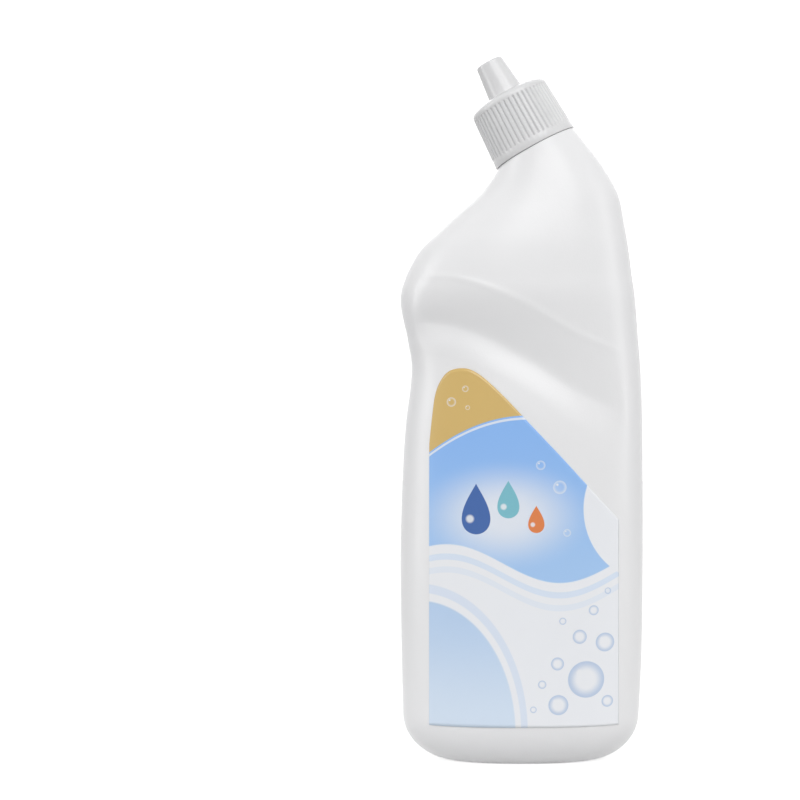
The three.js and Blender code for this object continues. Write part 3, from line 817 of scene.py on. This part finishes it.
# Sections up to the bulge by height: middle, half width, half depth and power
BULGE_SECTION = len(STRAIGHT) + 1
FRONT_SECTIONS = [section(u) for u in steps(0, BULGE_SECTION, 280)]
FRONT_Z = [centre[2] for centre, across, depth, power in FRONT_SECTIONS]
FRONT_ROWS = [(centre[0], across[0], depth, power) for centre, across, depth, power in FRONT_SECTIONS]
FRONT_KEYS = list(zip(*FRONT_ROWS))


def front_point(x, z, out):
    # Point of the body's front at x and z, moved out along its normal
    middle, half, depth, power = (np.interp(z, FRONT_Z, keys) for keys in FRONT_KEYS)
    share = (x - middle) / half
    reach = (1 - abs(share) ** power) ** (1 / power)
    tilt = math.copysign(abs(share) ** (power - 1), share) / half
    normal = np.array([tilt, -reach ** (power - 1) / depth, 0])
    normal /= np.linalg.norm(normal)
    return np.array([x, -reach * depth, z]) + normal * out


def label(name, side, is_front):
    # Film on the front (side 1) or mirrored to the back (side -1)
    columns = []
    for u in steps(0, len(LABEL_TOP) - 1, LABEL_COLUMNS):
        x = through(LABEL_KEYS[0], u)
        top = through(LABEL_KEYS[1], u)
        columns.append([front_point(x, z, LABEL_LIFT) for z in steps(LABEL_BOTTOM, top, LABEL_ROWS)])
    film = Shell()
    for column in columns:
        film.add_ring([(p[0], p[1] * side, p[2]) for p in column])
    rows = LABEL_ROWS + 1
    for i in range(LABEL_COLUMNS):
        for j in range(LABEL_ROWS):
            face = [i * rows + j, (i + 1) * rows + j, (i + 1) * rows + j + 1, i * rows + j + 1]
            film.faces.append(face if side > 0 else face[::-1])
    piece = film.make(name, label_film(name + "_print", is_front))
    thick = piece.modifiers.new("thickness", "SOLIDIFY")
    thick.thickness = LABEL_THICKNESS * MM
    thick.offset = -1
    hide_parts("front_label" if is_front else "back_label")
    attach(piece, "bottle")


label("front_film", 1, True)
label("back_film", -1, False)

# Pieces that keep their CAD shape
for node, material in (("nozzle_insert", insert_plastic), ("sealing_washer", washer_foam)):
    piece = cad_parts[node]
    piece.data.materials.clear()
    piece.data.materials.append(material)


# Studio, in metres
STAGE_HALF = 3.0
STAGE_BACK = 2.5
STAGE_HEIGHT = 4.0
# Distances from the bottle between which the paper changes, in millimetres
PAPER_NEAR = 90
PAPER_FAR = 420


def stage_plane(name, points, material):
    mesh = bpy.data.meshes.new(name)
    mesh.from_pydata(points, [], [[0, 1, 2, 3]])
    mesh.materials.append(material)
    plane = bpy.data.objects.new(name, mesh)
    bpy.context.scene.collection.objects.link(plane)


def seen_directly(tree):
    # 1 for a ray that looks straight at a surface, mirrors it or passes glass, otherwise 0
    path = tree.nodes.new("ShaderNodeLightPath")
    share = path.outputs["Is Camera Ray"]
    for name in ("Is Glossy Ray", "Is Transmission Ray"):
        node = tree.nodes.new("ShaderNodeMath")
        node.operation = "MAXIMUM"
        tree.links.new(share, node.inputs[0])
        tree.links.new(path.outputs[name], node.inputs[1])
        share = node.outputs[0]
    return share


def paper_material(name, near, far):
    # Pale paper, with a tone and a glow near the bottle and away from it. Only what looks straight
    # at the paper or mirrors it sees the glow, so the paper shows white and keeps the shadow.
    n = Nodes(name)
    away = n.length(n.x, n.y)
    tones = [linear(tone, tone, tone) for tone, glow in (near, far)]
    n.put(n.mix(n.ramp(away, PAPER_NEAR, PAPER_FAR), *tones), n.shader.inputs["Base Color"])
    n.shader.inputs["Roughness"].default_value = 0.9
    n.shader.inputs["Emission Color"].default_value = (1, 1, 1, 1)
    glow = n.ramp(away, PAPER_NEAR, PAPER_FAR, near[1], far[1])
    n.put(n.math("MULTIPLY", seen_directly(n.tree), glow), n.shader.inputs["Emission Strength"])
    return n.material


front_edge = [(-STAGE_HALF, -STAGE_HALF, 0), (STAGE_HALF, -STAGE_HALF, 0)]
back_edge = [(STAGE_HALF, STAGE_BACK, 0), (-STAGE_HALF, STAGE_BACK, 0)]
top_edge = [(STAGE_HALF, STAGE_BACK, STAGE_HEIGHT), (-STAGE_HALF, STAGE_BACK, STAGE_HEIGHT)]
floor_paper = paper_material("floor_paper", (208, 0.78), (150, 0.92))
backdrop_paper = paper_material("backdrop_paper", (240, 1.0), (240, 1.0))
stage_plane("floor", front_edge + back_edge, floor_paper)
stage_plane("backdrop", back_edge[::-1] + top_edge, backdrop_paper)


def area_light(name, place, aim, size, power):
    # Lamp of two side lengths in metres, turned to its aim
    light = bpy.data.lights.new(name, "AREA")
    light.shape = "RECTANGLE"
    light.size, light.size_y = size
    light.energy = power
    lamp = bpy.data.objects.new(name, light)
    lamp.location = place
    direction = np.array(aim) - np.array(place)
    lamp.rotation_euler = Vector(direction).to_track_quat("-Z", "Y").to_euler()
    bpy.context.scene.collection.objects.link(lamp)


# A broad key from above the camera, a box at each side and a fill for the back
area_light("key", place=(0.2, -0.98, 1.0), aim=(0, 0, 0.12), size=(1.1, 0.9), power=10.2)
area_light("left_box", place=(-0.98, -0.22, 0.25), aim=(0, 0, 0.13), size=(0.35, 1.0), power=3.5)
area_light("right_box", place=(0.98, -0.22, 0.25), aim=(0, 0, 0.13), size=(0.35, 1.0), power=2.2)
area_light("back_fill", place=(0, 1.9, 0.75), aim=(0, 0, 0.12), size=(1.3, 1.0), power=4.3)

world = bpy.data.worlds.new("studio")
world.use_nodes = True
sky = world.node_tree.nodes["Background"]
sky.inputs["Color"].default_value = (1, 1, 1, 1)
# The world shows white, and lights the object at a lower level
level = world.node_tree.nodes.new("ShaderNodeMapRange")
level.inputs["To Min"].default_value = 0.4
level.inputs["To Max"].default_value = 1.0
world.node_tree.links.new(seen_directly(world.node_tree), level.inputs["Value"])
world.node_tree.links.new(level.outputs["Result"], sky.inputs["Strength"])
bpy.context.scene.world = world
bpy.context.scene.view_settings.view_transform = "Standard"

# The camera looks level at the front, and its shift puts the bottle right of the picture's middle
camera_data = bpy.data.cameras.new("camera")
camera_data.sensor_width = 36
camera_data.lens = 96.35
camera_data.shift_x = -0.152
camera_data.shift_y = -0.003
camera = bpy.data.objects.new("camera", camera_data)
camera.location = (0, -0.75, 0.126)
camera.rotation_euler = (math.pi / 2, 0, 0)
bpy.context.scene.collection.objects.link(camera)
bpy.context.scene.camera = camera
